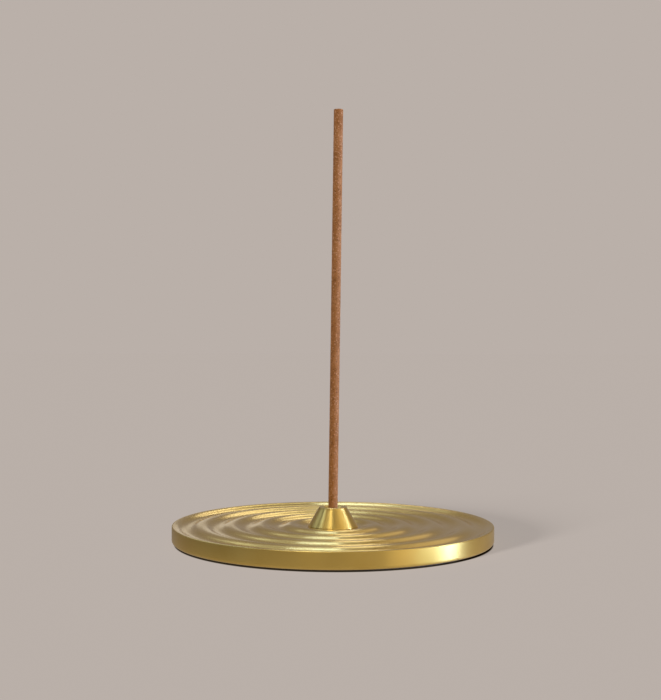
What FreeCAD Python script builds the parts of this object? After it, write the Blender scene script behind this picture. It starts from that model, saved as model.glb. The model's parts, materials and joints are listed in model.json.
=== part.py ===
import FreeCAD, Part
import os
import Sketcher

# Incense burner: a turned brass dish with ring ripples, a small cone that holds
# one incense stick, the thread parts that clamp the cone, and a felt base pad.
# Millimetres, +Z up. The origin is on the table, under the middle of the dish.

SIZES = {
    # Dish
    "dish_diameter": 100.0,
    "ripple_pitch": 9.3,
    "ripple_depth": 0.9,
    "rim_rise": 0.15,
    "rim_edge_radius": 0.25,
    "foot_corner_radius": 1.0,
    "web_thickness": 1.15,
    "spanner_room": 2.6,
    "pad_border": 1.6,
    "recess_depth": 0.3,
    # Cone that holds the stick
    "holder_base_diameter": 15.6,
    "holder_top_diameter": 8.8,
    "holder_height": 6.15,
    "holder_base_edge": 0.5,
    "holder_top_break": 0.15,
    "mouth_flare": 1.25,
    "mouth_depth": 1.2,
    "bore_clearance": 0.2,
    "bore_end_wall": 0.8,
    "stem_wall": 1.3,
    "stem_lead": 0.3,
    # Washer and nut under the dish
    "stem_hole_clearance": 0.1,
    "washer_width": 2.2,
    "washer_thickness": 0.5,
    "thread_gap": 0.05,
    "nut_wall": 1.5,
    "nut_thickness": 1.8,
    "nut_corner_bevel": 0.35,
    "stem_tail": 0.15,
    "stem_gap": 0.15,
    # Felt pad
    "pad_stand": 0.5,
    "pad_clearance": 0.3,
    # Incense stick
    "stick_diameter": 3.0,
    "stick_length": 133.3,
    "stick_foot_gap": 0.05,
    "stick_lean_share": 0.5,
}

DERIVED = {
    # Levels above the table, from the pad up to the top of the cone
    "pad_thickness": "pad_stand + recess_depth",
    "stem_end": "pad_thickness + stem_gap",
    "stem_lead_level": "stem_end + stem_lead",
    "nut_level": "stem_end + stem_tail",
    "washer_level": "nut_level + nut_thickness",
    "web_level": "washer_level + washer_thickness",
    "seat_level": "web_level + web_thickness",
    "ripple_middle": "seat_level + ripple_depth / 2",
    "rim_level": "seat_level + ripple_depth + rim_rise",
    "rim_middle": "(seat_level + rim_level) / 2",
    "rim_edge_level": "rim_level - rim_edge_radius",
    "foot_corner_level": "pad_stand + foot_corner_radius",
    "holder_edge_level": "seat_level + holder_base_edge",
    "holder_top": "seat_level + holder_height",
    "holder_break_level": "holder_top - holder_top_break",
    "mouth_level": "holder_top - mouth_depth",
    "bore_floor": "stem_end + bore_end_wall",
    "stick_foot": "bore_floor + stick_foot_gap",
    # Radii of the holder, the nut and the washer
    "stick_radius": "stick_diameter / 2",
    "bore_radius": "stick_radius + bore_clearance",
    "mouth_radius": "bore_radius + mouth_flare",
    "stem_radius": "bore_radius + stem_wall",
    "stem_lead_radius": "stem_radius - stem_lead",
    "stem_hole_radius": "stem_radius + stem_hole_clearance",
    "holder_base_radius": "holder_base_diameter / 2",
    "holder_top_radius": "holder_top_diameter / 2",
    "holder_break_radius": "holder_top_radius - holder_top_break",
    "washer_radius": "stem_hole_radius + washer_width",
    "nut_bore_radius": "stem_radius + thread_gap",
    "nut_flat_radius": "stem_radius + nut_wall",
    "nut_corner_radius": "nut_flat_radius / cos(30)",
    # Radii of the dish and the pad
    "dish_radius": "dish_diameter / 2",
    "rim_inner_radius": "dish_radius - rim_edge_radius",
    "foot_radius": "dish_radius - foot_corner_radius",
    "recess_radius": "dish_radius - pad_border",
    "pad_radius": "recess_radius - pad_clearance",
    "nut_pocket_radius": "max(nut_corner_radius; washer_radius) + spanner_room",
    "outer_trough_radius": "dish_radius - ripple_pitch / 2",
    "rim_join_radius": "(rim_inner_radius + outer_trough_radius) / 2",
    "ripple_count": "floor((outer_trough_radius - holder_base_radius) / ripple_pitch)",
    "seat_radius": "outer_trough_radius - ripple_count * ripple_pitch",
    # Radii of the arcs that make a ripple, and of the two that rise to the rim
    "ripple_run": "ripple_pitch / 4",
    "ripple_arc": "(ripple_run ^ 2 + (ripple_depth / 2) ^ 2) / ripple_depth",
    "rim_run": "(rim_inner_radius - outer_trough_radius) / 2",
    "rim_lift": "rim_level - seat_level",
    "rim_arc": "(rim_run ^ 2 + (rim_lift / 2) ^ 2) / rim_lift",
    # The stick leans on its bore by a share of the bore's clearance
    "stick_foot_shift": "stick_lean_share * bore_clearance",
    "stick_lean": "atan(stick_foot_shift / (holder_top - stick_foot))",
}

# Names for the two sides of a corner-to-corner run that an arc's centre can lie on
CENTRE_LEFT = "left"
CENTRE_RIGHT = "right"
AXIS = "axis"

doc = FreeCAD.newDocument("incense_burner")
sheet = doc.addObject("Spreadsheet::Sheet", "Sizes")


def fill_sheet():
    """Write every driving size, then every derived one, into an aliased cell."""
    row = 0
    for alias, number in SIZES.items():
        row += 1
        sheet.set(f"A{row}", alias)
        sheet.set(f"B{row}", str(number))
        sheet.setAlias(f"B{row}", alias)
    for alias, formula in DERIVED.items():
        row += 1
        sheet.set(f"A{row}", alias)
        sheet.set(f"B{row}", f"={formula}")
        sheet.setAlias(f"B{row}", alias)
    doc.recompute()
    # One cell for each place where a crest arc meets a trough arc
    for join in range(2 * int(sheet.get("ripple_count"))):
        row += 1
        alias = f"ripple_join_{join}"
        sheet.set(f"A{row}", alias)
        sheet.set(f"B{row}", f"=outer_trough_radius - ripple_run * {2 * join + 1}")
        sheet.setAlias(f"B{row}", alias)
    doc.recompute()


def size(alias):
    """Return the present value of a named size, where the axis counts as zero."""
    return 0.0 if alias == AXIS else float(sheet.get(alias))


def bind(target, path, alias):
    """Tie one property or constraint of an object to a named size."""
    target.setExpression(path, f"Sizes.{alias}")


def new_body(label):
    body = doc.addObject("PartDesign::Body", label)
    body.Label = label
    return body


def new_sketch(body, name, plane_role):
    """Add a sketch on one of the body's own origin planes."""
    planes = [feature for feature in body.Origin.OriginFeatures if feature.Role == plane_role]
    sketch = body.newObject("Sketcher::SketchObject", name)
    sketch.AttachmentSupport = [(planes[0], "")]
    sketch.MapMode = "FlatFace"
    return sketch


def arc_between(start, end, radius, centre_side):
    """Return the short arc from start to end with its centre on the given side."""
    run = end - start
    middle = (start + end) * 0.5
    left = FreeCAD.Vector(-run.y, run.x, 0).normalize()
    reach = (max(radius ** 2 - (run.Length / 2) ** 2, 0.0)) ** 0.5
    away = left if centre_side == CENTRE_LEFT else left * -1
    bulge = middle + away * (reach - radius)
    return Part.Arc(start, bulge, end)


def tie_point(sketch, side, end, place):
    """Place one end of a side by its two named coordinates."""
    across, up = place
    if across == AXIS:
        sketch.addConstraint(Sketcher.Constraint("PointOnObject", side, end, -2))
    else:
        number = sketch.addConstraint(Sketcher.Constraint("DistanceX", -1, 1, side, end, size(across)))
        bind(sketch, f"Constraints[{number}]", across)
    if up == AXIS:
        sketch.addConstraint(Sketcher.Constraint("PointOnObject", side, end, -1))
    else:
        number = sketch.addConstraint(Sketcher.Constraint("DistanceY", -1, 1, side, end, size(up)))
        bind(sketch, f"Constraints[{number}]", up)


def draw_outline(sketch, corners, arcs=None):
    """Draw a closed outline through corners of two named coordinates each.

    arcs maps the number of a side to its radius's name and its centre's side.
    """
    arcs = arcs or {}
    points = [FreeCAD.Vector(size(across), size(up), 0) for across, up in corners]
    starts = []
    ends = []
    for side, start in enumerate(points):
        end = points[(side + 1) % len(points)]
        first, last = 1, 2
        if side in arcs:
            radius, centre_side = arcs[side]
            sketch.addGeometry(arc_between(start, end, size(radius), centre_side), False)
            if centre_side == CENTRE_RIGHT:
                first, last = 2, 1
        else:
            sketch.addGeometry(Part.LineSegment(start, end), False)
        starts.append(first)
        ends.append(last)
    for side in range(len(points)):
        before = side - 1 if side else len(points) - 1
        sketch.addConstraint(Sketcher.Constraint("Coincident", before, ends[before], side, starts[side]))
        tie_point(sketch, side, starts[side], corners[side])
        if side in arcs:
            radius = arcs[side][0]
            number = sketch.addConstraint(Sketcher.Constraint("Radius", side, size(radius)))
            bind(sketch, f"Constraints[{number}]", radius)


def draw_circle(sketch, radius):
    """Draw a circle of a named radius round the origin."""
    upward = FreeCAD.Vector(0, 0, 1)
    circle = sketch.addGeometry(Part.Circle(FreeCAD.Vector(), upward, size(radius)), False)
    sketch.addConstraint(Sketcher.Constraint("Coincident", circle, 3, -1, 1))
    number = sketch.addConstraint(Sketcher.Constraint("Radius", circle, size(radius)))
    bind(sketch, f"Constraints[{number}]", radius)


def turn(body, kind, name, corners, arcs=None):
    """Add a full turn of an outline round the body's Z axis."""
    sketch = new_sketch(body, f"{name}_outline", "XZ_Plane")
    draw_outline(sketch, corners, arcs)
    doc.recompute()
    feature = body.newObject(f"PartDesign::{kind}", name)
    feature.Profile = sketch
    feature.ReferenceAxis = (sketch, ["V_Axis"])
    feature.Angle = 360.0
    doc.recompute()
    return feature


def bore_from_table(body, name, radius, level):
    """Cut a round pocket upwards from the table to a named level."""
    volume = body.Shape.Volume
    sketch = new_sketch(body, f"{name}_circle", "XY_Plane")
    draw_circle(sketch, radius)
    pocket = body.newObject("PartDesign::Pocket", name)
    pocket.Profile = sketch
    pocket.Reversed = True
    bind(pocket, "Length", level)
    doc.recompute()
    if body.Shape.Volume >= volume:
        raise RuntimeError(f"{name} cut nothing")


def disc(body, name, radii, thickness):
    """Add a flat disc or ring between the named radii."""
    sketch = new_sketch(body, f"{name}_circles", "XY_Plane")
    for radius in radii:
        draw_circle(sketch, radius)
    pad = body.newObject("PartDesign::Pad", name)
    pad.Profile = sketch
    bind(pad, "Length", thickness)
    doc.recompute()


def make_dish():
    """Turn the dish with its ripples, then bore its underside."""
    corners = [
        (AXIS, "pad_stand"),
        ("foot_radius", "pad_stand"),
        ("dish_radius", "foot_corner_level"),
        ("dish_radius", "rim_edge_level"),
        ("rim_inner_radius", "rim_level"),
        ("rim_join_radius", "rim_middle"),
        ("outer_trough_radius", "seat_level"),
    ]
    arcs = {
        1: ("foot_corner_radius", CENTRE_LEFT),
        3: ("rim_edge_radius", CENTRE_LEFT),
        4: ("rim_arc", CENTRE_LEFT),
        5: ("rim_arc", CENTRE_RIGHT),
        6: ("ripple_arc", CENTRE_RIGHT),
    }
    # Each ripple is a crest arc followed, towards the middle, by a trough arc
    for join in range(2 * int(size("ripple_count"))):
        crest_starts_here = join % 2 == 0
        arcs[len(corners)] = ("ripple_arc", CENTRE_LEFT if crest_starts_here else CENTRE_RIGHT)
        corners.append((f"ripple_join_{join}", "ripple_middle"))
    corners.append(("seat_radius", "seat_level"))
    corners.append((AXIS, "seat_level"))
    body = new_body("dish")
    turn(body, "Revolution", "turned_dish", corners, arcs)
    bore_from_table(body, "pad_recess", "recess_radius", "pad_thickness")
    bore_from_table(body, "nut_pocket", "nut_pocket_radius", "web_level")
    bore_from_table(body, "stem_hole", "stem_hole_radius", "rim_level")
    return body


def make_stick_holder():
    """Turn the cone and its stem in one piece, then bore it for the stick."""
    body = new_body("stick_holder")
    turn(body, "Revolution", "turned_cone", [
        (AXIS, "stem_end"),
        ("stem_lead_radius", "stem_end"),
        ("stem_radius", "stem_lead_level"),
        ("stem_radius", "seat_level"),
        ("holder_base_radius", "seat_level"),
        ("holder_base_radius", "holder_edge_level"),
        ("holder_top_radius", "holder_break_level"),
        ("holder_break_radius", "holder_top"),
        (AXIS, "holder_top"),
    ])
    volume = body.Shape.Volume
    turn(body, "Groove", "stick_bore", [
        (AXIS, "bore_floor"),
        ("bore_radius", "bore_floor"),
        ("bore_radius", "mouth_level"),
        ("mouth_radius", "holder_top"),
        (AXIS, "holder_top"),
    ])
    if body.Shape.Volume >= volume:
        raise RuntimeError("stick_bore cut nothing")
    return body


def make_stem_washer():
    """Make the flat ring between the dish and the nut."""
    body = new_body("stem_washer")
    disc(body, "washer_ring", ("washer_radius", "stem_hole_radius"), "washer_thickness")
    bind(body, "Placement.Base.z", "washer_level")
    return body


def make_stem_nut():
    """Make the thin hexagon nut, with its lower corners bevelled."""
    body = new_body("stem_nut")
    hexagon = body.newObject("PartDesign::AdditivePrism", "nut_hexagon")
    hexagon.Polygon = 6
    bind(hexagon, "Circumradius", "nut_corner_radius")
    bind(hexagon, "Height", "nut_thickness")
    doc.recompute()
    bore = body.newObject("PartDesign::SubtractiveCylinder", "nut_bore")
    bind(bore, "Radius", "nut_bore_radius")
    bind(bore, "Height", "nut_thickness")
    doc.recompute()
    turn(body, "Groove", "nut_bevel", [
        ("nut_flat_radius", AXIS),
        ("nut_corner_radius", AXIS),
        ("nut_corner_radius", "nut_corner_bevel"),
    ])
    bind(body, "Placement.Base.z", "nut_level")
    return body


def make_base_pad():
    """Make the felt disc that the burner stands on."""
    body = new_body("base_pad")
    disc(body, "felt_disc", ("pad_radius",), "pad_thickness")
    return body


def make_incense_stick():
    """Make the stick, leaning in its bore about the top of the cone."""
    stick = doc.addObject("Part::Cylinder", "incense_stick")
    stick.Label = "incense_stick"
    bind(stick, "Radius", "stick_radius")
    bind(stick, "Height", "stick_length")
    sideways = FreeCAD.Vector(0, 1, 0)
    stick.Placement = FreeCAD.Placement(FreeCAD.Vector(), FreeCAD.Rotation(sideways, 1.0))
    stick.setExpression("Placement.Base.x", "-Sizes.stick_foot_shift")
    bind(stick, "Placement.Base.z", "stick_foot")
    bind(stick, "Placement.Rotation.Angle", "stick_lean")
    return stick


def check_document(pieces):
    """Stop if any object failed, or if a piece is not one valid solid."""
    for item in doc.Objects:
        if "Invalid" in item.State or "Error" in item.State:
            raise RuntimeError(f"{item.Label} failed: {item.State}")
    for piece in pieces:
        shape = piece.Shape
        if shape.isNull() or not shape.isValid() or len(shape.Solids) != 1:
            raise RuntimeError(f"{piece.Label} is not one valid solid")


def main():
    fill_sheet()
    pieces = [
        make_dish(),
        make_stick_holder(),
        make_stem_washer(),
        make_stem_nut(),
        make_base_pad(),
        make_incense_stick(),
    ]
    doc.recompute()
    check_document(pieces)
    os.makedirs("parts", exist_ok=True)
    for piece in pieces:
        piece.Shape.exportStep(f"parts/{piece.Label}.step")
        box = piece.Shape.optimalBoundingBox()
        print(f"{piece.Label}: {piece.Shape.Volume:.1f} mm3, z {box.ZMin:.3f} to {box.ZMax:.3f},"
              f" x {box.XMin:.3f} to {box.XMax:.3f}")


main()
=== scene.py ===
"""Looks of a rippled brass incense burner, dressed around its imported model.

Lengths are metres. +Z is up, the origin is on the table under the middle of the dish, and the
camera stands on the -Y side.
"""
import json
import logging
import math
from dataclasses import dataclass, field
from enum import Enum

import bmesh
import bpy
from mathutils import Matrix, Vector


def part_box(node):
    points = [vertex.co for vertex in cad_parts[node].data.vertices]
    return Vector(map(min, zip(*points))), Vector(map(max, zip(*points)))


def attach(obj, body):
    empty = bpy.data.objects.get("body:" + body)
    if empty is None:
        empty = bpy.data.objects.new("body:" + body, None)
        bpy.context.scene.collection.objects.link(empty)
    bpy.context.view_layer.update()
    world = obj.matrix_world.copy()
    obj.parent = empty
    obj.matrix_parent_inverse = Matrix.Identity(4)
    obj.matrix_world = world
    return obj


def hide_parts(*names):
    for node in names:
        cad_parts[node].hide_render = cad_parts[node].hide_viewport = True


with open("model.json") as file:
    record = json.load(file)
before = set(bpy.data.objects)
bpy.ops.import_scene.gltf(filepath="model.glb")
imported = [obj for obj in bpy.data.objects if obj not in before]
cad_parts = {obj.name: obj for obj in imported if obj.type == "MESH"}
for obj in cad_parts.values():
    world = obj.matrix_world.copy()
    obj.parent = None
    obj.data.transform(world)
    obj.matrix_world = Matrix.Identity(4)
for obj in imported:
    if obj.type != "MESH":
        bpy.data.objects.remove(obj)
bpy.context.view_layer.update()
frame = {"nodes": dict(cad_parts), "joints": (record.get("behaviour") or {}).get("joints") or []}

LOG = logging.getLogger("incense_burner")
Station = tuple[float, float]
Colour = tuple[float, float, float]
WINDOW_LIGHT: Colour = (0.35, 0.5, 1.0)
DAYLIGHT: Colour = (0.55, 0.7, 1.0)
WHITE_LIGHT: Colour = (1.0, 1.0, 1.0)
ROOM_LIGHT: Colour = (1.0, 0.87, 0.7)
BLACK: Colour = (0.0, 0.0, 0.0)
WHITE: Colour = (1.0, 1.0, 1.0)


class ArcCentre(Enum):
    """The side of travel that an arc's centre lies on."""

    LEFT = 1
    RIGHT = -1


class Body(Enum):
    """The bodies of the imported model."""

    BURNER = "burner"
    STICK = "stick"


class Slot(Enum):
    """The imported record's material slots that new pieces stand for."""

    TURNED_BRASS = "turned_brass"
    FELT = "felt"
    INCENSE = "incense"


class Lighting(Enum):
    """Which objects a link between a lamp and one object lets take part."""

    ONLY_THIS = "INCLUDE"
    ALL_BUT_THIS = "EXCLUDE"


class ShaderValue:
    """A shader socket that takes part in Python expressions."""

    def __init__(self, graph: "ShaderGraph", socket: bpy.types.NodeSocket) -> None:
        """Keep the socket and the graph that new nodes are added to."""
        self.graph = graph
        self.socket = socket

    def __add__(self, other: "ShaderValue | float") -> "ShaderValue":
        """Add a value or a number."""
        return self.graph.math("ADD", self, other)

    __radd__ = __add__

    def __sub__(self, other: "ShaderValue | float") -> "ShaderValue":
        """Take away a value or a number."""
        return self.graph.math("SUBTRACT", self, other)

    def __rsub__(self, other: float) -> "ShaderValue":
        """Take this value away from a number."""
        return self.graph.math("SUBTRACT", other, self)

    def __mul__(self, other: "ShaderValue | float") -> "ShaderValue":
        """Multiply by a value or a number."""
        return self.graph.math("MULTIPLY", self, other)

    __rmul__ = __mul__


class ShaderGraph:
    """Adds nodes to one material's or world's node tree."""

    MIX_SHARE = 0
    MIX_FIRST = 6
    MIX_SECOND = 7
    MIX_RESULT = 2
    ACROSS = (1.0, 1.0, 0.0)

    def __init__(self, tree: bpy.types.NodeTree) -> None:
        """Empty the tree, so that only named nodes are in it."""
        self.tree = tree
        tree.nodes.clear()

    def node(self, kind: str, output: str | int = 0, settings: dict | None = None,
             inputs: dict | None = None) -> ShaderValue:
        """Add one node.

        Args:
            kind: The node's type, without its ShaderNode prefix.
            output: The name or number of the output that is returned.
            settings: Properties of the node, which are set first; stops are a ramp's stops.
            inputs: Values or links of its sockets, by name or number.

        Returns:
            The chosen output as a value, or the node's first input where it has no output.
        """
        made = self.tree.nodes.new(f"ShaderNode{kind}")
        for name, setting in (settings or {}).items():
            if name == "stops":
                self._set_stops(made.color_ramp, setting)
            else:
                setattr(made, name, setting)
        for key, value in (inputs or {}).items():
            if isinstance(value, ShaderValue):
                self.tree.links.new(value.socket, made.inputs[key])
            else:
                made.inputs[key].default_value = value
        if not made.outputs:
            return ShaderValue(self, made.inputs[0])
        return ShaderValue(self, made.outputs[output])

    @staticmethod
    def _set_stops(ramp: bpy.types.ColorRamp, stops: list[tuple[float, Colour]]) -> None:
        """Replace a ramp's stops.

        Args:
            ramp: The ramp of a new node.
            stops: The place and the colour of each stop.
        """
        while len(ramp.elements) < len(stops):
            ramp.elements.new(1.0)
        for element, (place, colour) in zip(ramp.elements, stops):
            element.position = place
            element.color = opaque(colour)

    def math(self, operation: str, *values: "ShaderValue | float") -> ShaderValue:
        """Add a Math node for one operation on values and numbers."""
        return self.node("Math", settings={"operation": operation}, inputs=dict(enumerate(values)))

    def blend(self, share: "ShaderValue | float", first: "ShaderValue | Colour",
              second: "ShaderValue | Colour") -> ShaderValue:
        """Mix two colours.

        Args:
            share: How much of the second colour shows, from 0 to 1.
            first: A colour or a colour value.
            second: A colour or a colour value.

        Returns:
            The mixed colour.
        """
        return self.node("Mix", self.MIX_RESULT, {"data_type": "RGBA"}, {
            self.MIX_SHARE: share, self.MIX_FIRST: opaque(first), self.MIX_SECOND: opaque(second)})

    def place(self) -> ShaderValue:
        """Return the point being shaded."""
        return self.node("TexCoord", "Object")

    def radius(self, point: ShaderValue) -> ShaderValue:
        """Return the distance of a point from the dish's axis."""
        across = self.node("VectorMath", "Vector", {"operation": "MULTIPLY"}, {0: point, 1: self.ACROSS})
        return self.node("VectorMath", "Value", {"operation": "LENGTH"}, {0: across})

    def part(self, point: ShaderValue, letter: str) -> ShaderValue:
        """Return one part of a point, X, Y or Z."""
        return self.node("SeparateXYZ", letter, inputs={0: point})

    def noise(self, point: ShaderValue, scale: float, detail: float,
              extra: dict | None = None) -> ShaderValue:
        """Add cloudy noise.

        Args:
            point: The point being shaded.
            scale: Clouds in a metre.
            detail: How many finer layers are added.
            extra: Values of the noise's other sockets.

        Returns:
            The noise, from 0 to 1.
        """
        inputs = {"Vector": point, "Scale": scale, "Detail": detail, **(extra or {})}
        return self.node("TexNoise", "Fac", {"noise_dimensions": "3D"}, inputs)

    def ease(self, value: ShaderValue, start: float, end: float, low: float, high: float) -> ShaderValue:
        """Turn a value into a smooth step.

        Args:
            value: The value.
            start: Where the step begins.
            end: Where the step ends.
            low: The result up to start.
            high: The result from end on.

        Returns:
            The step.
        """
        return self.node("MapRange", "Result", {"interpolation_type": "SMOOTHSTEP"}, {
            "Value": value, "From Min": start, "From Max": end, "To Min": low, "To Max": high})

    def finish(self, shader: ShaderValue) -> None:
        """Send a shader to the tree's surface output."""
        self.node("OutputMaterial", inputs={"Surface": shader})


def opaque(colour: "ShaderValue | Colour") -> "ShaderValue | tuple[float, ...]":
    """Add full cover to a plain colour, and leave a colour value as it is."""
    return colour if isinstance(colour, ShaderValue) else (*colour, 1.0)


def new_material(name: str) -> tuple[bpy.types.Material, ShaderGraph]:
    """Add an empty material.

    Args:
        name: The material's name.

    Returns:
        The material and its graph.
    """
    made = bpy.data.materials.new(name)
    made.use_nodes = True
    return made, ShaderGraph(made.node_tree)


@dataclass(frozen=True)
class BrassFinish:
    """Satin brass with fine lines that a lathe tool has left round the axis.

    Attributes:
        name: The material's name.
        colour: The metal's reflection seen straight on.
        warm_colour: The same metal where it has tarnished a little.
        roughness: Mean roughness.
        grain: Strength of the stretch across the turning lines, from 0 to 1.
        line_spacing: Mean distance between the turning lines.
        line_depth: Height of the turning lines.
        wall_radius: Where the piece's coarser outer wall begins.
        wall_roughness: Mean roughness of that wall.
    """

    name: str
    colour: Colour
    warm_colour: Colour
    roughness: float
    grain: float
    line_spacing: float
    line_depth: float
    wall_radius: float
    wall_roughness: float

    ACROSS_LINES = 0.25
    ROUGHNESS_SWING = 0.07
    BUMP = 0.15
    CLOUD_SCALE = 90.0
    CLOUD_DETAIL = 4.0
    TARNISH_START = 0.42
    TARNISH_FULL = 0.72
    LINE_DETAIL = 3.0
    FINE_SHARE = 0.6
    BROAD_SPACING = 9
    HEIGHT_SHARE = 1.37
    WALL_BLEND = 0.0003

    def material(self) -> bpy.types.Material:
        """Make the material.

        Returns:
            A material that reads Object coordinates centred on the dish's axis.
        """
        made, graph = new_material(self.name)
        point = graph.place()
        radius = graph.radius(point)
        travel = radius + graph.part(point, "Z") * self.HEIGHT_SHARE
        fine = self._lines(graph, travel, self.line_spacing)
        broad = self._lines(graph, travel, self.line_spacing * self.BROAD_SPACING)
        clouds = graph.noise(point, self.CLOUD_SCALE, self.CLOUD_DETAIL)
        stops = [(self.TARNISH_START, BLACK), (self.TARNISH_FULL, WHITE)]
        tarnish = graph.node("ValToRGB", "Color", {"stops": stops}, {0: clouds})
        colour = graph.blend(tarnish, self.colour, self.warm_colour)
        lines = fine * self.FINE_SHARE + broad * (1.0 - self.FINE_SHARE)
        wall_start = self.wall_radius - self.WALL_BLEND
        mean = graph.ease(radius, wall_start, self.wall_radius, self.roughness, self.wall_roughness)
        roughness = mean + (lines + clouds - 1.0) * self.ROUGHNESS_SWING
        bump = graph.node("Bump", "Normal", inputs={
            "Strength": self.BUMP, "Distance": self.line_depth, "Height": lines})
        shader = graph.node("BsdfPrincipled", "BSDF", inputs={
            "Base Color": colour, "Metallic": 1.0, "Roughness": roughness, "Normal": bump,
            "Anisotropic": self.grain, "Anisotropic Rotation": self.ACROSS_LINES})
        graph.finish(shader)
        return made

    @staticmethod
    def _lines(graph: ShaderGraph, travel: ShaderValue, spacing: float) -> ShaderValue:
        """Return noise that changes only across the turning lines."""
        return graph.node("TexNoise", "Fac", {"noise_dimensions": "1D"},
                          {"W": travel, "Scale": 1.0 / spacing, "Detail": BrassFinish.LINE_DETAIL})


@dataclass(frozen=True)
class FeltFinish:
    """Short dark felt with matted fibres.

    Attributes:
        name: The material's name.
        colour: Colour of the felt's body.
        fibre_colour: Colour of the paler fibres.
        fibre_scale: Fibre clumps in a metre.
    """

    name: str
    colour: Colour
    fibre_colour: Colour
    fibre_scale: float

    MAT_DETAIL = 6.0
    MAT_DISTORTION = 1.6
    MAT_SHARE = 0.7
    FLUFF_SIZE = 14
    FLUFF_DETAIL = 3.0
    FIBRE_START = 0.35
    FIBRE_FULL = 0.75
    BUMP = 0.8
    BUMP_DEPTH = 0.0001
    ROUGHNESS = 0.95
    SHEEN = 0.4
    SHEEN_ROUGHNESS = 0.5

    def material(self) -> bpy.types.Material:
        """Make the material.

        Returns:
            A rough fabric material with fibre bumps and sheen.
        """
        made, graph = new_material(self.name)
        point = graph.place()
        mat = graph.noise(point, self.fibre_scale, self.MAT_DETAIL, {"Distortion": self.MAT_DISTORTION})
        fluff = graph.noise(point, self.fibre_scale / self.FLUFF_SIZE, self.FLUFF_DETAIL)
        stops = [(self.FIBRE_START, BLACK), (self.FIBRE_FULL, WHITE)]
        shade = graph.node("ValToRGB", "Color", {"stops": stops},
                           {0: mat * self.MAT_SHARE + fluff * (1.0 - self.MAT_SHARE)})
        bump = graph.node("Bump", "Normal", inputs={
            "Strength": self.BUMP, "Distance": self.BUMP_DEPTH, "Height": mat})
        shader = graph.node("BsdfPrincipled", "BSDF", inputs={
            "Base Color": graph.blend(shade, self.colour, self.fibre_colour), "Roughness": self.ROUGHNESS,
            "Normal": bump, "Sheen Weight": self.SHEEN, "Sheen Roughness": self.SHEEN_ROUGHNESS})
        graph.finish(shader)
        return made


@dataclass(frozen=True)
class IncenseFinish:
    """Pressed wood powder with pale and dark grains.

    Attributes:
        name: The material's name.
        colour: Colour of the fine powder.
        dark_colour: Colour of the dark grains and damp patches.
        pale_colour: Colour of the pale grains.
        grain_scale: Grains in a metre.
    """

    name: str
    colour: Colour
    dark_colour: Colour
    pale_colour: Colour
    grain_scale: float

    POWDER_DETAIL = 5.0
    POWDER_ROUGHNESS = 0.65
    POWDER_SHARE = 0.65
    PATCH_SIZE = 16
    PATCH_DETAIL = 3.0
    DARK_STOP = 0.3
    MIDDLE_STOP = 0.52
    PALE_STOP = 0.8
    SPECK_SHARE = 0.6
    SPECK_REACH = 0.45
    SPECKLED = 0.22
    SPECK_STRENGTH = 0.8
    SPECK_DENT = 0.4
    BUMP = 0.7
    BUMP_DEPTH = 0.00008
    ROUGHNESS = 0.78
    ROUGHNESS_SWING = 0.15
    GLOSS = 0.3

    def material(self) -> bpy.types.Material:
        """Make the material.

        Returns:
            A rough material with grains in its colour, roughness and bump.
        """
        made, graph = new_material(self.name)
        point = graph.place()
        powder = graph.noise(point, self.grain_scale, self.POWDER_DETAIL,
                             {"Roughness": self.POWDER_ROUGHNESS})
        patches = graph.noise(point, self.grain_scale / self.PATCH_SIZE, self.PATCH_DETAIL)
        specks = {"Vector": point, "Scale": self.grain_scale * self.SPECK_SHARE}
        grains = graph.node("TexVoronoi", "Distance", {"voronoi_dimensions": "3D"}, specks)
        cells = graph.node("TexVoronoi", "Color", {"voronoi_dimensions": "3D"}, specks)
        pick = graph.part(cells, "X")
        stops = [(self.DARK_STOP, self.dark_colour), (self.MIDDLE_STOP, self.colour),
                 (self.PALE_STOP, self.pale_colour)]
        body = graph.node("ValToRGB", "Color", {"stops": stops},
                          {0: powder * self.POWDER_SHARE + patches * (1.0 - self.POWDER_SHARE)})
        core = graph.math("LESS_THAN", grains, self.SPECK_REACH)
        pale = graph.math("GREATER_THAN", pick, 1.0 - self.SPECKLED) * core
        dark = graph.math("LESS_THAN", pick, self.SPECKLED) * core
        speckled = graph.blend(pale * self.SPECK_STRENGTH, body, self.pale_colour)
        colour = graph.blend(dark * self.SPECK_STRENGTH, speckled, self.dark_colour)
        bump = graph.node("Bump", "Normal", inputs={
            "Strength": self.BUMP, "Distance": self.BUMP_DEPTH, "Height": powder - grains * self.SPECK_DENT})
        shader = graph.node("BsdfPrincipled", "BSDF", inputs={
            "Base Color": colour, "Roughness": powder * self.ROUGHNESS_SWING + self.ROUGHNESS,
            "Normal": bump, "Specular IOR Level": self.GLOSS})
        graph.finish(shader)
        return made


DISH_BRASS = BrassFinish(
    name="turned_dish_brass", colour=(0.80, 0.57, 0.155), warm_colour=(0.77, 0.53, 0.13),
    roughness=0.2, grain=0.88, line_spacing=0.00022, line_depth=0.00001,
    wall_radius=0.0498, wall_roughness=0.42)
CONE_BRASS = BrassFinish(
    name="turned_cone_brass", colour=(0.80, 0.57, 0.155), warm_colour=(0.77, 0.53, 0.13),
    roughness=0.32, grain=0.88, line_spacing=0.00022, line_depth=0.00001,
    wall_radius=1.0, wall_roughness=0.32)
FASTENER_BRASS = BrassFinish(
    name="plain_fastener_brass", colour=(0.72, 0.52, 0.2), warm_colour=(0.62, 0.42, 0.15),
    roughness=0.36, grain=0.3, line_spacing=0.0004, line_depth=0.00002,
    wall_radius=1.0, wall_roughness=0.36)
DARK_FELT = FeltFinish(
    name="dark_felt", colour=(0.012, 0.010, 0.008), fibre_colour=(0.045, 0.038, 0.03), fibre_scale=5200.0)
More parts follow.
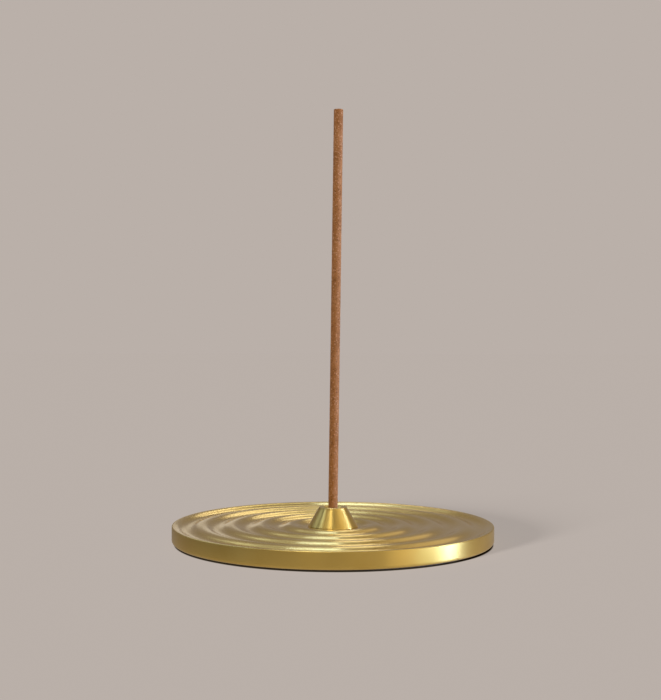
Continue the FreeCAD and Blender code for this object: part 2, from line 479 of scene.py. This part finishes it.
PRESSED_INCENSE = IncenseFinish(
    name="pressed_incense", colour=(0.5, 0.215, 0.07), dark_colour=(0.25, 0.095, 0.025),
    pale_colour=(0.72, 0.40, 0.21), grain_scale=3400.0)


def arc_stations(start: Station, end: Station, radius: float, centre: ArcCentre,
                 steps: int) -> list[Station]:
    """Divide the short arc between two stations of an outline.

    Args:
        start: Where the arc begins.
        end: Where the arc ends.
        radius: The arc's radius.
        centre: The side of travel that its centre lies on.
        steps: How many straight runs stand for the arc.

    Returns:
        The stations after start, up to and with end.
    """
    run = Vector(end) - Vector(start)
    side = Vector((-run.y, run.x)).normalized() * centre.value
    reach = math.sqrt(max(radius ** 2 - run.length_squared / 4, 0.0))
    hub = (Vector(start) + Vector(end)) / 2 + side * reach
    first = math.atan2(start[1] - hub.y, start[0] - hub.x)
    sweep = 2 * math.asin(min(1.0, run.length / 2 / radius)) * centre.value
    turns = [first + sweep * step / steps for step in range(1, steps + 1)]
    return [(hub.x + radius * math.cos(turn), hub.y + radius * math.sin(turn)) for turn in turns]


def run_stations(start: Station, end: Station, steps: int) -> list[Station]:
    """Divide a straight run of an outline and return the stations after start."""
    shares = [step / steps for step in range(1, steps + 1)]
    return [tuple(Vector(start).lerp(Vector(end), share)) for share in shares]


def select_only(piece: bpy.types.Object) -> None:
    """Select one piece and make it the active one.

    Args:
        piece: The piece.
    """
    bpy.ops.object.select_all(action="DESELECT")
    bpy.context.view_layer.objects.active = piece
    piece.select_set(True)


class Lathe:
    """Turns outlines into round pieces, one operator at a time."""

    SEED_SIZE = 0.001
    WELD = 1e-7
    CREASE = math.radians(32)
    NOISE_LAYERS = 2
    ALL_INWARDS = 1.0

    @classmethod
    def turn(cls, name: str, outline: list[Station], sides: int, closed: bool) -> bpy.types.Object:
        """Draw an outline point by point and spin it round the Z axis.

        Args:
            name: The new piece's name.
            outline: Radius and height of each point.
            sides: How many flats stand for the round.
            closed: Whether the last point joins the first.

        Returns:
            The turned piece, at the origin.
        """
        points = [Vector((radius, 0.0, height)) for radius, height in outline]
        bpy.ops.object.select_all(action="DESELECT")
        bpy.ops.mesh.primitive_plane_add(size=cls.SEED_SIZE)
        piece = bpy.context.object
        piece.name = name
        piece.data.name = name
        bpy.ops.object.mode_set(mode="EDIT")
        bpy.ops.mesh.select_all(action="SELECT")
        bpy.ops.mesh.merge(type="CENTER")
        bpy.ops.transform.translate(value=points[0])
        for before, after in zip(points, points[1:]):
            bpy.ops.mesh.extrude_region_move(TRANSFORM_OT_translate={"value": after - before})
        if closed:
            cls._join_ends(piece)
        bpy.ops.mesh.select_all(action="SELECT")
        bpy.ops.mesh.spin(steps=sides, angle=math.tau, center=(0.0, 0.0, 0.0), axis=(0.0, 0.0, 1.0))
        bpy.ops.mesh.select_all(action="SELECT")
        bpy.ops.mesh.remove_doubles(threshold=cls.WELD)
        bpy.ops.mesh.normals_make_consistent(inside=False)
        bpy.ops.object.mode_set(mode="OBJECT")
        bpy.ops.object.shade_smooth_by_angle(angle=cls.CREASE)
        return piece

    @staticmethod
    def _join_ends(piece: bpy.types.Object) -> None:
        """Join the two loose ends of an outline.

        Args:
            piece: The piece that is being edited.
        """
        mesh = bmesh.from_edit_mesh(piece.data)
        for point in mesh.verts:
            point.select_set(len(point.link_edges) < 2)
        bmesh.update_edit_mesh(piece.data)
        bpy.ops.mesh.edge_face_add()

    @staticmethod
    def lean(piece: bpy.types.Object, shift: Vector, angle: float, about: Vector) -> None:
        """Move an upright piece's mesh, then tilt it about a line along Y.

        Args:
            piece: The piece to tilt.
            shift: The move before the tilt.
            angle: The tilt towards +X, in radians.
            about: A point on the line.
        """
        select_only(piece)
        bpy.ops.object.mode_set(mode="EDIT")
        bpy.ops.mesh.select_all(action="SELECT")
        bpy.ops.transform.translate(value=shift)
        bpy.ops.transform.rotate(value=-angle, orient_axis="Y", center_override=about)
        bpy.ops.object.mode_set(mode="OBJECT")

    @classmethod
    def roughen(cls, piece: bpy.types.Object, name: str, size: float, depth: float) -> None:
        """Push a piece's surface inwards with cloudy noise.

        Args:
            piece: The piece to roughen.
            name: A name for the noise.
            size: The noise's grain.
            depth: The whole swing of the surface.
        """
        clouds = bpy.data.textures.new(name, "CLOUDS")
        clouds.noise_scale = size
        clouds.noise_depth = cls.NOISE_LAYERS
        push = piece.modifiers.new(name, "DISPLACE")
        push.texture = clouds
        push.strength = depth
        push.mid_level = cls.ALL_INWARDS
        select_only(piece)
        bpy.ops.object.modifier_apply(modifier=push.name)


def dress(piece: bpy.types.Object, material: bpy.types.Material, body: Body, node: str) -> None:
    """Give a new piece its finish and its place in the frame.

    Args:
        piece: The piece.
        material: Its finish.
        body: The body that it moves with.
        node: The solid that it stands for.
    """
    piece.data.materials.clear()
    piece.data.materials.append(material)
    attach(piece, body.value)
    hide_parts(node)
    LOG.info("%s stands for %s on %s: %d faces", piece.name, node, body.value, len(piece.data.polygons))


@dataclass
class Dish:
    """The turned dish with its ripples, and the bored underside that holds the pad and the nut."""

    ripple_pitch: float = 0.0093
    ripple_depth: float = 0.0009
    ripple_count: int = 4
    rim_rise: float = 0.00015
    rim_edge_radius: float = 0.00025
    foot_corner_radius: float = 0.001
    stem_hole_radius: float = 0.0031
    web_thickness: float = 0.00115
    nut_pocket_radius: float = 0.0079
    pad_border: float = 0.0016
    skin: float = 0.000016
    sides: int = 256
    low: Vector = field(default_factory=lambda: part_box("dish")[0])
    high: Vector = field(default_factory=lambda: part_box("dish")[1])
    pad_top: float = field(default_factory=lambda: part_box("base_pad")[1].z)

    ARC_STEPS = 12
    EDGE_STEPS = 6
    FOOT_STEPS = 8
    FLAT_STEPS = 2
    RECESS_STEPS = 4

    @property
    def radius(self) -> float:
        """Radius of the wall, a hair inside the solid's flats."""
        return self.high.x - self.skin

    @property
    def seat_level(self) -> float:
        """Height of the flat that the cone stands on, and of the ripples' troughs."""
        return self.high.z - self.rim_rise - self.ripple_depth

    def top_outline(self) -> list[Station]:
        """Lay out the top.

        Returns:
            The stations from the rim's outer edge in to the flat seat.
        """
        radius = self.radius
        trough = radius - self.ripple_pitch / 2
        rim = (radius - self.rim_edge_radius, self.high.z)
        rim_join = ((rim[0] + trough) / 2, (self.high.z + self.seat_level) / 2)
        stations = [(radius, self.high.z - self.rim_edge_radius)]
        stations += arc_stations(stations[-1], rim, self.rim_edge_radius, ArcCentre.LEFT, self.EDGE_STEPS)
        rim_arc = self._arc_radius(rim[0] - rim_join[0], rim[1] - rim_join[1])
        stations += arc_stations(rim, rim_join, rim_arc, ArcCentre.LEFT, self.ARC_STEPS)
        stations += arc_stations(rim_join, (trough, self.seat_level), rim_arc, ArcCentre.RIGHT,
                                 self.ARC_STEPS)
        quarter = self.ripple_pitch / 4
        middle = self.seat_level + self.ripple_depth / 2
        ripple_arc = self._arc_radius(quarter, self.ripple_depth / 2)
        sides = [ArcCentre.RIGHT] + [ArcCentre.LEFT, ArcCentre.RIGHT] * self.ripple_count
        for number, side in enumerate(sides):
            place = trough - quarter * (2 * number + 1)
            end = (place, middle)
            steps = 2 * self.ARC_STEPS
            if number == 0:
                steps = self.ARC_STEPS
            if number == len(sides) - 1:
                end = (place + quarter, self.seat_level)
                steps = self.ARC_STEPS
            stations += arc_stations(stations[-1], end, ripple_arc, side, steps)
        return stations

    @staticmethod
    def _arc_radius(run: float, rise: float) -> float:
        """Return the radius of an arc that starts level and climbs rise over run."""
        return (run ** 2 + rise ** 2) / (2 * rise)

    def outline(self) -> list[Station]:
        """Lay out the whole section.

        Returns:
            The stations from the rim inwards and back along the underside.
        """
        web = self.seat_level - self.web_thickness
        recess = self.high.x - self.pad_border
        stations = self.top_outline()
        stations += run_stations(stations[-1], (self.stem_hole_radius, self.seat_level), self.FLAT_STEPS)
        stations += [
            (self.stem_hole_radius, web),
            (self.nut_pocket_radius, web),
            (self.nut_pocket_radius, self.pad_top),
        ]
        stations += run_stations(stations[-1], (recess, self.pad_top), self.RECESS_STEPS)
        stations += [(recess, self.low.z)]
        foot = (self.radius - self.foot_corner_radius, self.low.z)
        stations += run_stations(stations[-1], foot, self.FLAT_STEPS)
        wall_foot = (self.radius, self.low.z + self.foot_corner_radius)
        stations += arc_stations(foot, wall_foot, self.foot_corner_radius, ArcCentre.LEFT, self.FOOT_STEPS)
        return stations

    def build(self) -> None:
        """Turn the dish and dress it."""
        piece = Lathe.turn("rippled_dish", self.outline(), self.sides, closed=True)
        dress(piece, DISH_BRASS.material(), Body.BURNER, "dish")


@dataclass
class StickHolder:
    """The turned cone with its countersunk bore and its threaded stem."""

    seat_level: float
    top_radius: float = 0.0044
    base_edge: float = 0.00015
    top_break: float = 0.00015
    bore_radius: float = 0.0017
    bore_end_wall: float = 0.0008
    mouth_radius: float = 0.00295
    mouth_depth: float = 0.0012
    stem_radius: float = 0.003
    thread_pitch: float = 0.0005
    thread_depth: float = 0.00027
    sides: int = 160
    low: Vector = field(default_factory=lambda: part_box("stick_holder")[0])
    high: Vector = field(default_factory=lambda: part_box("stick_holder")[1])

    EDGE_STEPS = 4
    SEAT_STEPS = 2
    FLANK_STEPS = 12
    MOUTH_STEPS = 3
    BORE_STEPS = 4

    def thread(self) -> list[Station]:
        """Lay out the thread's ridges.

        Returns:
            The stations from the stem's end up to the seat.
        """
        root = self.stem_radius - self.thread_depth
        ridges = int((self.seat_level - self.low.z) / self.thread_pitch)
        stations: list[Station] = []
        for ridge in range(ridges):
            foot = self.low.z + ridge * self.thread_pitch
            stations += [(root, foot), (self.stem_radius, foot + self.thread_pitch / 2)]
        return stations + [(root, foot + self.thread_pitch), (root, self.seat_level)]

    def outline(self) -> list[Station]:
        """Lay out the section.

        Returns:
            The stations from the stem's end, up the outside and down the bore.
        """
        base = self.high.x
        stations = [(0.0, self.low.z)] + self.thread()
        stations += run_stations(stations[-1], (base, self.seat_level), self.SEAT_STEPS)
        edge_foot = (base, self.seat_level + self.base_edge)
        stations += [edge_foot]
        shoulder = (self.top_radius, self.high.z - self.top_break)
        stations += run_stations(edge_foot, shoulder, self.FLANK_STEPS)
        land = (self.top_radius - self.top_break, self.high.z)
        stations += arc_stations(shoulder, land, self.top_break, ArcCentre.LEFT, self.EDGE_STEPS)
        mouth = (self.mouth_radius, self.high.z)
        throat = (self.bore_radius, self.high.z - self.mouth_depth)
        floor = (self.bore_radius, self.low.z + self.bore_end_wall)
        stations += run_stations(land, mouth, self.MOUTH_STEPS)
        stations += run_stations(mouth, throat, self.MOUTH_STEPS)
        stations += run_stations(throat, floor, self.BORE_STEPS)
        return stations + [(0.0, floor[1])]

    def build(self) -> None:
        """Turn the cone and dress it."""
        piece = Lathe.turn("stick_cone", self.outline(), self.sides, closed=False)
        dress(piece, CONE_BRASS.material(), Body.BURNER, "stick_holder")


@dataclass
class BasePad:
    """The felt disc under the dish, with soft edges."""

    edge_radius: float = 0.0002
    sides: int = 192
    fluff_size: float = 0.0008
    fluff_depth: float = 0.00005
    low: Vector = field(default_factory=lambda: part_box("base_pad")[0])
    high: Vector = field(default_factory=lambda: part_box("base_pad")[1])

    FACE_STEPS = 60
    TOP_STEPS = 20
    EDGE_STEPS = 3

    def outline(self) -> list[Station]:
        """Lay out the section.

        Returns:
            The stations from the middle of the underside round to the middle of the top.
        """
        radius, edge = self.high.x, self.edge_radius
        foot = (radius - edge, self.low.z)
        top = (radius - edge, self.high.z)
        stations = [(0.0, self.low.z)]
        stations += run_stations(stations[0], foot, self.FACE_STEPS)
        stations += arc_stations(foot, (radius, self.low.z + edge), edge, ArcCentre.LEFT, self.EDGE_STEPS)
        stations += [(radius, self.high.z - edge)]
        stations += arc_stations(stations[-1], top, edge, ArcCentre.LEFT, self.EDGE_STEPS)
        stations += run_stations(top, (0.0, self.high.z), self.TOP_STEPS)
        return stations

    def build(self) -> None:
        """Turn the disc, fluff its surface and dress it."""
        piece = Lathe.turn("felt_pad", self.outline(), self.sides, closed=False)
        Lathe.roughen(piece, "felt_fluff", self.fluff_size, self.fluff_depth)
        dress(piece, DARK_FELT.material(), Body.BURNER, "base_pad")


@dataclass
class IncenseStick:
    """The pressed stick, which leans a little in its bore."""

    radius: float = 0.0015
    length: float = 0.1333
    edge_radius: float = 0.00012
    sides: int = 56
    grain_size: float = 0.0005
    grain_depth: float = 0.00007
    low: Vector = field(default_factory=lambda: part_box("incense_stick")[0])
    axis: Vector = field(default_factory=lambda: Vector(frame["joints"][0]["axis"]).normalized())

    LENGTH_STEPS = 420
    END_STEPS = 6
    EDGE_STEPS = 3

    @property
    def tilt(self) -> float:
        """The stick's lean towards +X, in radians."""
        return math.atan2(self.axis.x, self.axis.z)

    def foot(self) -> Vector:
        """Return the middle of the stick's lower end."""
        across = self.low.x + self.radius * math.cos(self.tilt)
        return Vector((across, 0.0, self.low.z + self.radius * math.sin(self.tilt)))

    def outline(self) -> list[Station]:
        """Lay out the section of an upright stick.

        Returns:
            The stations from the middle of its lower end to the middle of its upper end.
        """
        radius, edge, foot = self.radius, self.edge_radius, self.foot().z
        top = foot + self.length
        lower = (radius - edge, foot)
        upper = (radius, top - edge)
        stations = [(0.0, foot)] + run_stations((0.0, foot), lower, self.END_STEPS)
        stations += arc_stations(lower, (radius, foot + edge), edge, ArcCentre.LEFT, self.EDGE_STEPS)
        stations += run_stations(stations[-1], upper, self.LENGTH_STEPS)
        stations += arc_stations(upper, (radius - edge, top), edge, ArcCentre.LEFT, self.EDGE_STEPS)
        return stations + run_stations(stations[-1], (0.0, top), self.END_STEPS)

    def build(self) -> bpy.types.Object:
        """Turn the stick, roughen it, lean it and dress it.

        Returns:
            The finished stick.
        """
        piece = Lathe.turn("pressed_stick", self.outline(), self.sides, closed=False)
        foot = self.foot()
        Lathe.lean(piece, Vector((foot.x, 0.0, 0.0)), self.tilt, foot)
        Lathe.roughen(piece, "stick_grain", self.grain_size, self.grain_depth)
        piece.visible_glossy = False
        dress(piece, PRESSED_INCENSE.material(), Body.STICK, "incense_stick")
        return piece


@dataclass
class StemFasteners:
    """The washer and the nut that clamp the cone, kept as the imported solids."""

    nodes: tuple[str, ...] = ("stem_washer", "stem_nut")

    def build(self) -> None:
        """Give both solids their finish."""
        material = FASTENER_BRASS.material()
        for node in self.nodes:
            for slot in frame["nodes"][node].material_slots:
                slot.material = material
            LOG.info("%s keeps its solid", node)


def direction(azimuth: float, elevation: float) -> Vector:
    """Point from the burner to a place round it.

    Args:
        azimuth: Degrees round the burner, 0 at the camera and growing to the right.
        elevation: Degrees above the table.

    Returns:
        A vector of length 1.
    """
    turn, climb = math.radians(azimuth), math.radians(elevation)
    return Vector((math.sin(turn) * math.cos(climb), -math.cos(turn) * math.cos(climb), math.sin(climb)))


@dataclass(frozen=True)
class Softbox:
    """A rectangular studio lamp that faces the burner.

    Attributes:
        name: The lamp's name.
        azimuth: Degrees round the burner, 0 at the camera and growing to the right.
        elevation: Degrees above the table.
        width: The lamp's width.
        height: The lamp's height.
        brightness: How bright the lamp's face is, where 1 is white.
        colour: The light's tint.
        distance: Metres from the burner.
    """

    name: str
    azimuth: float
    elevation: float
    width: float
    height: float
    brightness: float
    colour: Colour
    distance: float = 1.0

    def build(self) -> bpy.types.Object:
        """Add the lamp.

        Returns:
            The lamp.
        """
        away = direction(self.azimuth, self.elevation)
        bpy.ops.object.light_add(type="AREA", location=away * self.distance,
                                 rotation=away.to_track_quat("Z", "Y").to_euler())
        lamp = bpy.context.object
        lamp.name = self.name
        lamp.data.shape = "RECTANGLE"
        lamp.data.size, lamp.data.size_y = self.width, self.height
        lamp.data.energy = self.brightness * math.pi * self.width * self.height
        lamp.data.color = self.colour
        lamp.visible_camera = False
        return lamp


@dataclass(frozen=True)
class FloorLamp:
    """A low lamp that lights only the floor, so that the dish throws its soft shadow.

    Attributes:
        name: The lamp's name.
        azimuth: Degrees round the burner, 0 at the camera and growing to the right.
        elevation: Degrees above the table.
        spread: How wide the lamp looks, in degrees.
        strength: Light on a face that looks at the lamp.
    """

    name: str = "floor_lamp"
    azimuth: float = -38.5
    elevation: float = 7.0
    spread: float = 9.0
    strength: float = 23.3

    def build(self, floor: bpy.types.Object, thin_piece: bpy.types.Object) -> None:
        """Add the lamp.

        Args:
            floor: The only object that it lights.
            thin_piece: A piece that doesn't block this lamp, so that it throws no shadow.
        """
        away = direction(self.azimuth, self.elevation)
        bpy.ops.object.light_add(type="SUN", location=away, rotation=away.to_track_quat("Z", "Y").to_euler())
        lamp = bpy.context.object
        lamp.name = self.name
        lamp.data.energy = self.strength
        lamp.data.angle = math.radians(self.spread)
        link_light(lamp, floor, Lighting.ONLY_THIS, blocks=False)
        link_light(lamp, thin_piece, Lighting.ALL_BUT_THIS, blocks=True)


def link_light(lamp: bpy.types.Object, thing: bpy.types.Object, lighting: Lighting, blocks: bool) -> None:
    """Say whether a lamp lights one object, or is blocked by it.

    Args:
        lamp: The lamp.
        thing: The object.
        lighting: Whether only this object takes part, or all but this one.
        blocks: Whether the link is about shadows, and not about light.
    """
    links = bpy.data.collections.new(f"{lamp.name}_{thing.name}_links")
    links.objects.link(thing)
    links.collection_objects[0].light_linking.link_state = lighting.value
    if blocks:
        lamp.light_linking.blocker_collection = links
    else:
        lamp.light_linking.receiver_collection = links


@dataclass
class Studio:
    """The pale floor, the soft lamps and the camera."""

    pale: Colour = (0.491, 0.434, 0.397)
    # Colour of the painted contact shade on the floor under the dish, and the disc that it fills.
    painted_contact_shade: Colour = (0.03, 0.022, 0.012)
    ambient: float = 0.15
    back_share: float = 0.6
    front_share: float = 0.1
    pale_azimuth: float = 150.0
    lit_share: float = 0.2
    painted_shade_radius: float = 0.0498
    painted_shade_shift: float = 0.0002
    # How much of the floor's glow stays in reflections on the -X side, and how far that painted shade
    # reaches.
    dim_floor_share: float = 0.3
    dim_floor_reach: float = 0.1
    floor_size: float = 40.0
    lamps: tuple[Softbox, ...] = (
        Softbox("window", 85, 6, 0.2, 0.16, 70.0, WINDOW_LIGHT),
        Softbox("window_side", 68, 6, 0.35, 0.18, 9.0, DAYLIGHT),
        Softbox("room_side", 48, 6, 0.35, 0.18, 3.0, ROOM_LIGHT),
        Softbox("right_box", 58, 40, 2.0, 0.45, 1.2, ROOM_LIGHT),
        Softbox("front_strip", -16, 46, 0.25, 0.35, 2.0, ROOM_LIGHT),
        Softbox("front_left", -50, 40, 0.5, 0.4, 0.5, ROOM_LIGHT),
        Softbox("left_strip", -78, 46, 0.25, 0.3, 3.0, DAYLIGHT),
        Softbox("left_box", -125, 38, 1.0, 0.4, 1.0, DAYLIGHT),
        Softbox("top_box", -60, 79, 0.45, 0.4, 4.5, WHITE_LIGHT),
        Softbox("back_box", -168, 44, 0.5, 0.25, 0.6, DAYLIGHT),
        Softbox("back_high", -172, 61, 0.22, 0.25, 7.0, WINDOW_LIGHT),
        Softbox("back_strip", 176, 32, 0.1, 0.22, 1.8, WHITE_LIGHT),
        Softbox("back_right", 155, 36, 0.35, 0.4, 0.4, ROOM_LIGHT),
        Softbox("back_low", -171, 6, 0.14, 0.14, 0.35, WHITE_LIGHT),
    )
    floor_lamp: FloorLamp = field(default_factory=FloorLamp)

    PHOTO_LONG_SIDE = 700
    FOCAL_PIXELS = 1118.9
    SENSOR = 36.0
    CAMERA_PLACE = (-0.000908, -0.3503, 0.05978)
    CAMERA_ROLL = 0.0028
    CAMERA_NEAR = 0.01
    PAINTED_SHADE_BLUR = 0.0006
    DIM_EDGE = -0.4
    PALE_EDGE = 0.9

    def floor(self) -> bpy.types.Object:
        """Lay the floor, which shows its own pale colour and keeps the burner's shadow, with a painted dark
        contact shade under the dish.

        Returns:
            The floor.
        """
        bpy.ops.object.select_all(action="DESELECT")
        bpy.ops.mesh.primitive_plane_add(size=self.floor_size)
        floor = bpy.context.object
        floor.name = "studio_floor"
        material, graph = new_material("pale_floor")
        point = graph.place()
        # Painted contact shade: inside a disc a little narrower than the dish, the floor's colour is painted
        # dark, and camera rays see only that dark paint.
        reach = graph.node("VectorMath", "Value", {"operation": "DISTANCE"}, {
            0: point, 1: (self.painted_shade_shift, 0.0, 0.0)})
        painted_shade_start = self.painted_shade_radius - self.PAINTED_SHADE_BLUR
        outside_painted_shade = graph.ease(reach, painted_shade_start, self.painted_shade_radius, 0.0, 1.0)
        # Painted shade in reflections: the floor's glow seen in the brass is painted darker towards -X, down
        # to dim_floor_share of its brightness.
        across = graph.part(point, "X")
        painted_left_shade = graph.ease(across, -self.dim_floor_reach, 0.0, 1.0 - self.dim_floor_share, 0.0)
        camera, mirror = self._seen(graph)
        glow_colour = graph.blend(mirror * painted_left_shade, self.pale, BLACK)
        glow = graph.node("Emission", "Emission", inputs={"Color": glow_colour, "Strength": 1.0})
        # The floor's colour is painted dark inside the disc, as contact shade under the dish.
        colour = graph.blend(outside_painted_shade, self.painted_contact_shade, self.pale)
        paint = graph.node("BsdfDiffuse", "BSDF", inputs={"Color": colour})
        share = graph.math("MINIMUM", camera * outside_painted_shade + mirror, 1.0) * (1.0 - self.lit_share)
        graph.finish(graph.node("MixShader", inputs={0: share, 1: paint, 2: glow}))
        floor.data.materials.append(material)
        return floor

    @staticmethod
    def _seen(graph: ShaderGraph) -> tuple[ShaderValue, ShaderValue]:
        """Tell what kind of ray meets the surface.

        Args:
            graph: The graph of the floor or the world.

        Returns:
            1 for rays from the camera, and 1 for rays from a reflection or through glass.
        """
        camera = graph.node("LightPath", "Is Camera Ray")
        glossy = graph.node("LightPath", "Is Glossy Ray")
        through = graph.node("LightPath", "Is Transmission Ray")
        return camera, graph.math("MAXIMUM", glossy, through)

    def world(self) -> None:
        """Surround the set with the floor's pale colour, dimmer on the camera's side."""
        world = bpy.data.worlds.new("studio")
        world.use_nodes = True
        bpy.context.scene.world = world
        graph = ShaderGraph(world.node_tree)
        outwards = graph.node("TexCoord", "Generated")
        facing = graph.node("VectorMath", "Value", {"operation": "DOT_PRODUCT"}, {
            0: outwards, 1: direction(self.pale_azimuth, 0.0)})
        mirrored = graph.ease(facing, self.DIM_EDGE, self.PALE_EDGE, self.front_share, self.back_share)
        camera, mirror = self._seen(graph)
        level = camera + (1.0 - camera) * (mirror * mirrored + (1.0 - mirror) * self.ambient)
        shader = graph.node("Background", "Background", inputs={
            "Color": opaque(self.pale), "Strength": level})
        graph.node("OutputWorld", inputs={"Surface": shader})

    def camera(self) -> None:
        """Stand the camera where the photograph was taken."""
        bpy.ops.object.camera_add(location=self.CAMERA_PLACE)
        camera = bpy.context.object
        camera.name = "studio_camera"
        turn = Matrix.Rotation(math.pi / 2, 4, "X") @ Matrix.Rotation(self.CAMERA_ROLL, 4, "Z")
        camera.rotation_euler = turn.to_euler()
        camera.data.sensor_width = self.SENSOR
        camera.data.lens = self.SENSOR * self.FOCAL_PIXELS / self.PHOTO_LONG_SIDE
        camera.data.clip_start = self.CAMERA_NEAR
        bpy.context.scene.camera = camera

    def build(self, stick: bpy.types.Object) -> None:
        """Set up the floor, the world, the lamps, the camera and the view.

        Args:
            stick: The finished stick, which throws no shadow on the floor.
        """
        floor = self.floor()
        self.world()
        for softbox in self.lamps:
            link_light(softbox.build(), floor, Lighting.ALL_BUT_THIS, blocks=False)
        self.floor_lamp.build(floor, stick)
        self.camera()
        bpy.context.scene.view_settings.view_transform = "Standard"


def main() -> None:
    """Build every piece, then the studio round it."""
    logging.basicConfig(level=logging.INFO, format="%(message)s")
    dish = Dish()
    dish.build()
    StickHolder(seat_level=dish.seat_level).build()
    BasePad().build()
    stick = IncenseStick().build()
    StemFasteners().build()
    Studio().build(stick)


if __name__ == "__main__":
    main()
